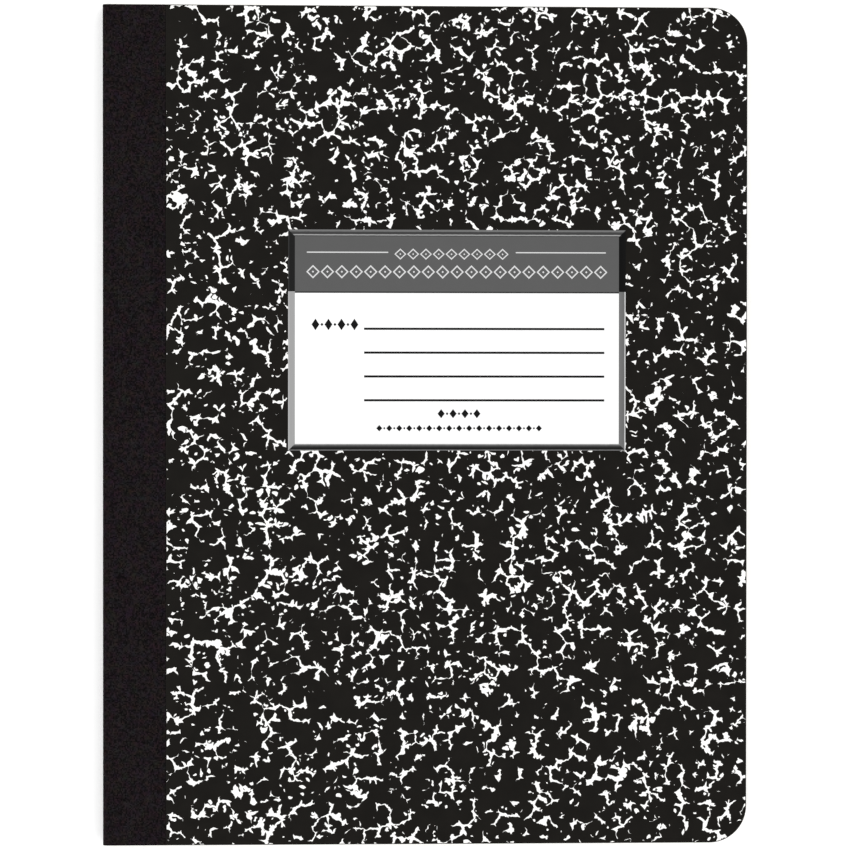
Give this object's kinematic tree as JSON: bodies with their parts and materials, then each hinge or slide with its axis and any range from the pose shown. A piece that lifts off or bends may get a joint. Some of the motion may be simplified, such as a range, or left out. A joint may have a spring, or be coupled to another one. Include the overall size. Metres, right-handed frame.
{
  "type": "composition notebook",
  "caption": "Sewn composition notebook with black and white marbled board covers, a black cloth tape round the spine and a blank panel for a name on the front.",
  "frame": {"origin": "centre of the closed notebook's footprint, on the surface it lies on", "axes": "+X from the spine to the fore edge, +Y to the head, +Z out of the front cover"},
  "size_m": [0.1906, 0.2476, 0.0064],
  "materials": {
    "paper": "matte",
    "thread": "matte",
    "tape_cloth": "matte",
    "cover_board": "satin",
    "label_paper": "satin"
  },
  "bodies": {
    "pages": {"page_block": "paper", "sewing_thread": "thread", "spine_tape": "tape_cloth"},
    "front": {"front_cover": "cover_board", "front_tape": "tape_cloth", "front_label": "label_paper"},
    "back": {"back_cover": "cover_board", "back_tape": "tape_cloth"}
  },
  "joints": [
    {"name": "front_cover_hinge", "type": "hinge", "parent": "pages", "child": "front", "pos_m": [-0.0949, 0, 0.0054], "axis": [0, -1, 0], "range_deg": [0, 179.8]},
    {"name": "back_cover_hinge", "type": "hinge", "parent": "pages", "child": "back", "pos_m": [-0.0949, 0, 0.0008], "axis": [0, 1, 0], "range_deg": [0, 179.8]}
  ]
}
